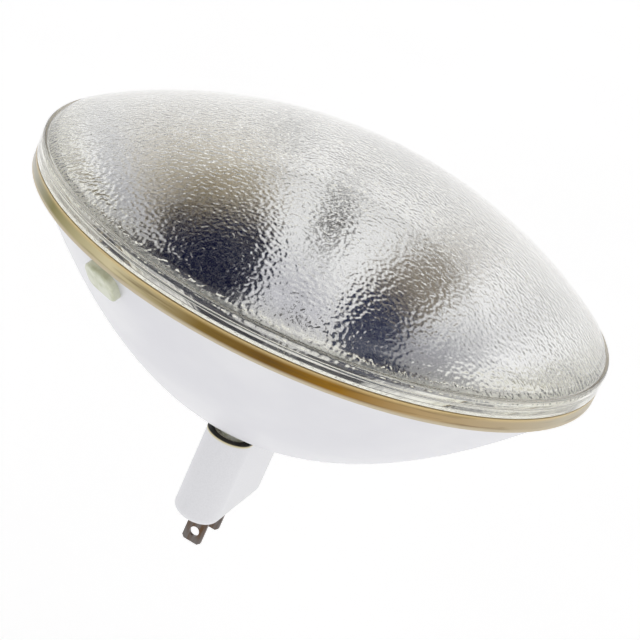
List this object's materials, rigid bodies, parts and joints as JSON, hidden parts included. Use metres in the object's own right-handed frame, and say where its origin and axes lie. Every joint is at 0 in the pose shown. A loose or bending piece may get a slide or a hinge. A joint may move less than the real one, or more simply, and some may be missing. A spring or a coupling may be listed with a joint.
{
  "type": "par spotlight bulb",
  "caption": "Round sealed-beam spotlight bulb with a domed stippled glass lens, parabolic mirror reflector and a ceramic end-prong base.",
  "frame": {"origin": "on the lamp's axis, in the plane of the rim's rear seat", "axes": "+Z along the beam, from the base to the lens; the contact blades stand apart along Y"},
  "size_m": [0.2032, 0.2032, 0.1551],
  "materials": {
    "lens_glass": "pressed clear glass, smooth outside, stippled inside",
    "silvered_glass": "pressed glass, aluminised inside, silvery white from behind",
    "amber_bond": "cured amber adhesive",
    "steatite": "unglazed white ceramic",
    "cement": "cured grey-white cement",
    "blade_metal": "nickel-plated, dulled grey-brown",
    "ferrule_metal": "oxidised iron-nickel alloy",
    "nickel_wire": "drawn nickel",
    "quartz": "clear fused quartz",
    "molybdenum": "drawn molybdenum",
    "tungsten": "coiled tungsten wire"
  },
  "bodies": {
    "root": {"base_cement": "cement", "base_lead_front": "nickel_wire", "base_lead_rear": "nickel_wire", "capsule_envelope": "quartz", "capsule_lead_front": "molybdenum", "capsule_lead_rear": "molybdenum", "ceramic_base": "steatite", "contact_blade_front": "blade_metal", "contact_blade_rear": "blade_metal", "ferrule_front": "ferrule_metal", "ferrule_rear": "ferrule_metal", "filament_coil": "tungsten", "filament_leg_front": "molybdenum", "filament_leg_rear": "molybdenum", "lens": "lens_glass", "pinch_foil_front": "molybdenum", "pinch_foil_rear": "molybdenum", "reflector": "silvered_glass", "rim_seal": "amber_bond", "support_post_front": "nickel_wire", "support_post_rear": "nickel_wire"}
  },
  "joints": []
}
